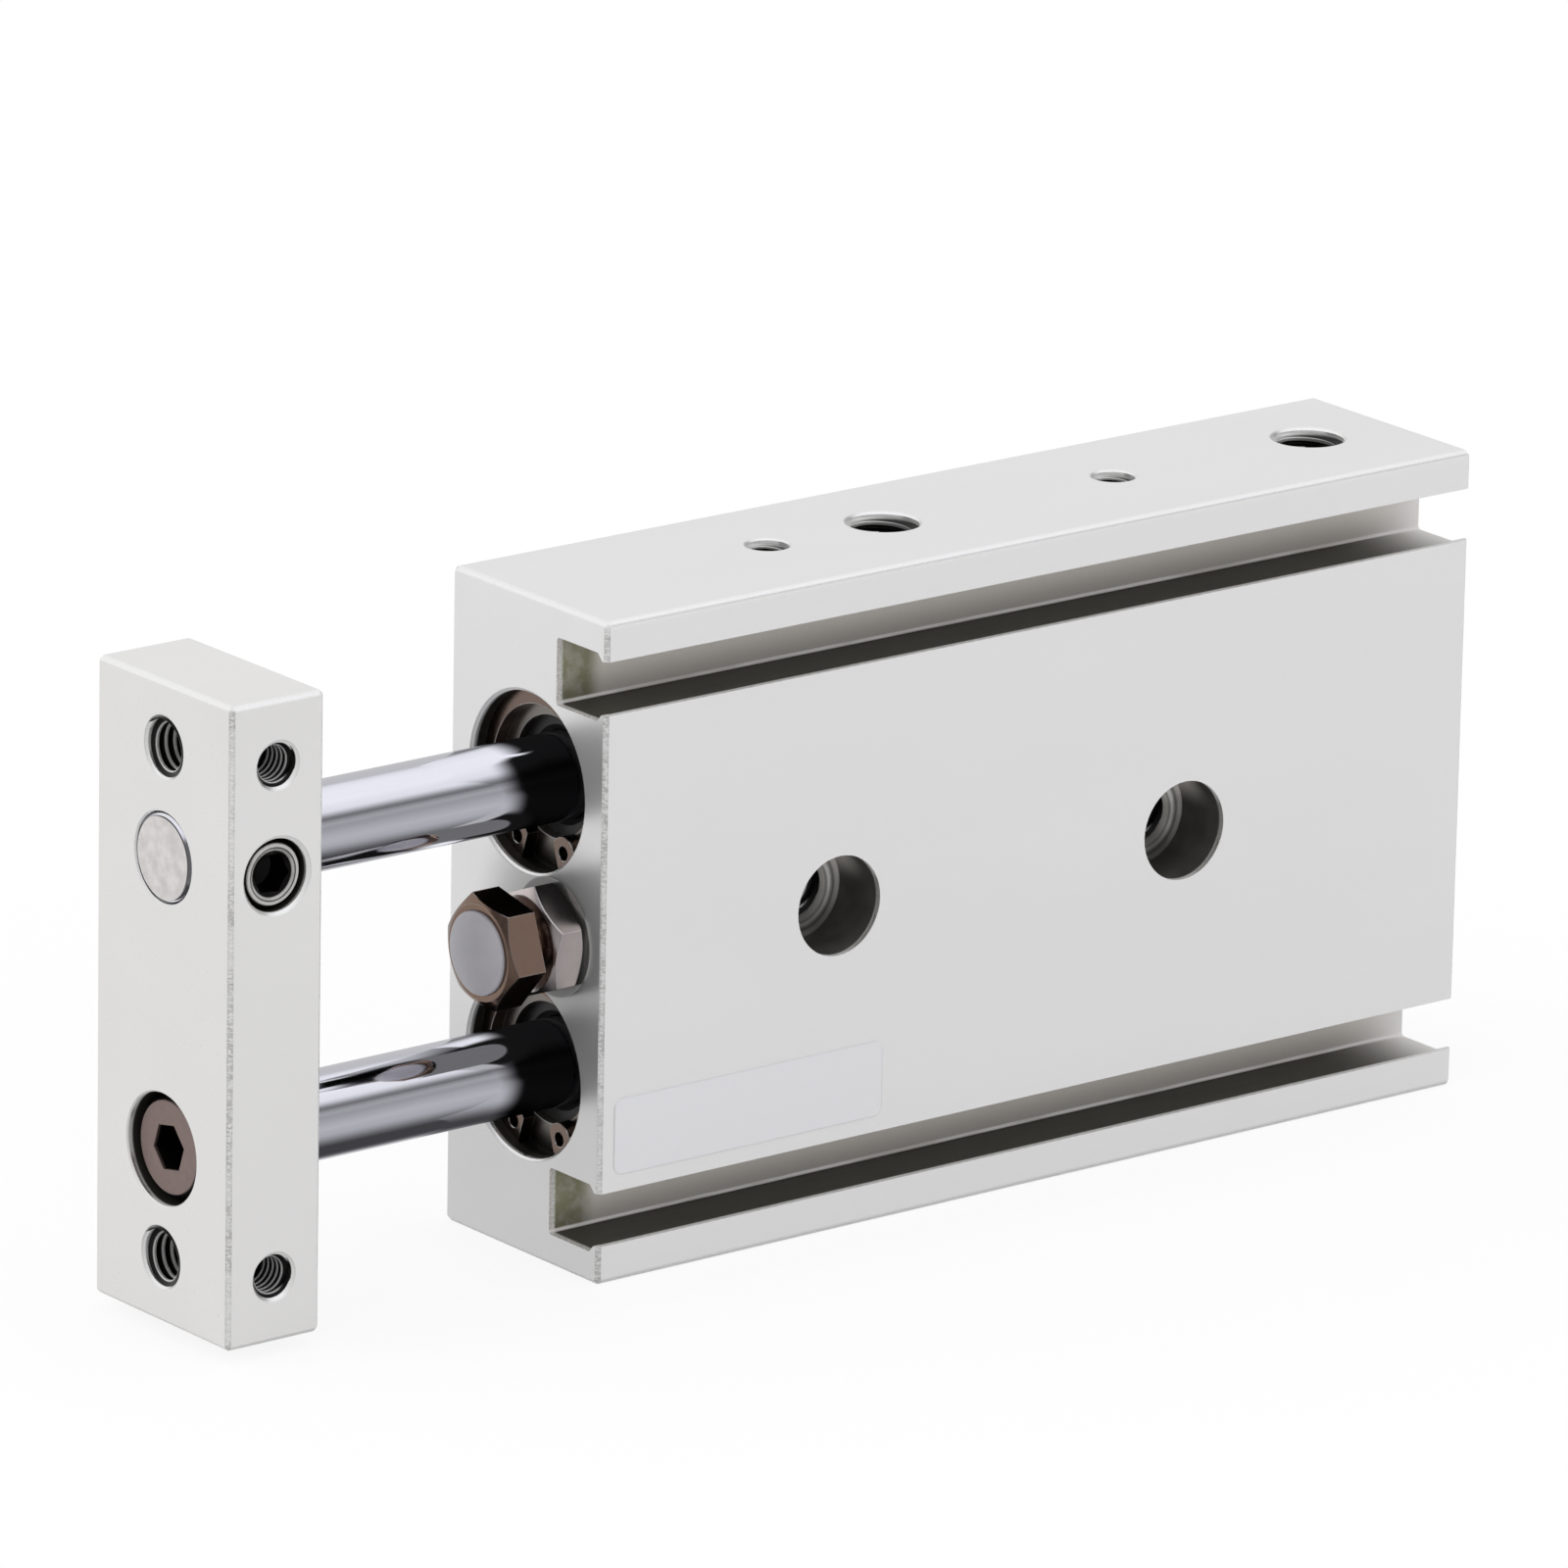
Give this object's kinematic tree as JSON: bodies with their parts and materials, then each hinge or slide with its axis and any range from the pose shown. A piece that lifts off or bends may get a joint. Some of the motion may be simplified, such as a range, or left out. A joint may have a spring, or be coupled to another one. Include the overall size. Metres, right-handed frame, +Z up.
{
  "type": "twin rod pneumatic cylinder",
  "caption": "Compact pneumatic cylinder: a flat slotted aluminium bar with twin chromed rods that push one end plate without turning, with an adjustable retracting stop.",
  "frame": {"origin": "midway between the two mounting holes, on the bar's back mounting face", "axes": "+X along the bores from the end plate to the head end; +Y out of the back mounting face, so the sensor slots face -Y; +Z up to the top face with the air ports, with the bar on its narrow side"},
  "size_m": [0.1047, 0.017, 0.046],
  "materials": {
    "anodised_extrusion": "satin clear anodised, fine grain",
    "anodised_plate": "satin clear anodised, milled",
    "turned_aluminium": "turned, uncoated",
    "chromed_rod": "hard chrome, ground and polished",
    "nickel_steel": "bright nickel plate",
    "black_oxide_steel": "brown-black oxide",
    "spring_steel": "phosphated spring steel",
    "washer_steel": "plain stamped steel",
    "plug_steel": "black oxide with sealant",
    "bearing_bronze": "sintered bronze",
    "grey_urethane": "moulded, satin",
    "cushion_urethane": "moulded, satin",
    "seal_rubber": "nitrile rubber, matte",
    "bonded_magnet": "bonded ferrite, dull",
    "wear_ring_resin": "filled resin"
  },
  "bodies": {
    "cylinder_body": {"housing": "anodised_extrusion", "stop_bolt": "nickel_steel", "stop_bolt_nut": "nickel_steel", "stop_bolt_bumper": "grey_urethane", "port_plugs": "plug_steel", "upper_front_snap_ring": "spring_steel", "upper_seal_retainer": "washer_steel", "upper_rod_seal": "seal_rubber", "upper_gland": "turned_aluminium", "upper_gland_bush": "bearing_bronze", "upper_gland_o_ring": "seal_rubber", "upper_rod_side_bumper": "cushion_urethane", "upper_head_side_bumper": "cushion_urethane", "upper_head_cover": "turned_aluminium", "upper_head_o_ring": "seal_rubber", "upper_rear_snap_ring": "spring_steel", "lower_front_snap_ring": "spring_steel", "lower_seal_retainer": "washer_steel", "lower_rod_seal": "seal_rubber", "lower_gland": "turned_aluminium", "lower_gland_bush": "bearing_bronze", "lower_gland_o_ring": "seal_rubber", "lower_rod_side_bumper": "cushion_urethane", "lower_head_side_bumper": "cushion_urethane", "lower_head_cover": "turned_aluminium", "lower_head_o_ring": "seal_rubber", "lower_rear_snap_ring": "spring_steel"},
    "rod_assembly": {"end_plate": "anodised_plate", "upper_piston_rod": "chromed_rod", "lower_piston_rod": "chromed_rod", "rod_cap_screw": "black_oxide_steel", "rod_set_screw": "black_oxide_steel", "upper_piston": "turned_aluminium", "upper_piston_seal": "seal_rubber", "upper_magnet": "bonded_magnet", "upper_magnet_holder": "turned_aluminium", "upper_wear_ring": "wear_ring_resin", "lower_piston": "turned_aluminium", "lower_piston_seal": "seal_rubber", "lower_magnet": "bonded_magnet", "lower_magnet_holder": "turned_aluminium", "lower_wear_ring": "wear_ring_resin"}
  },
  "joints": [
    {"name": "rod_slide", "type": "slide", "parent": "cylinder_body", "child": "rod_assembly", "axis": [-1, 0, 0], "range_m": [-0.015, 0.005]}
  ]
}
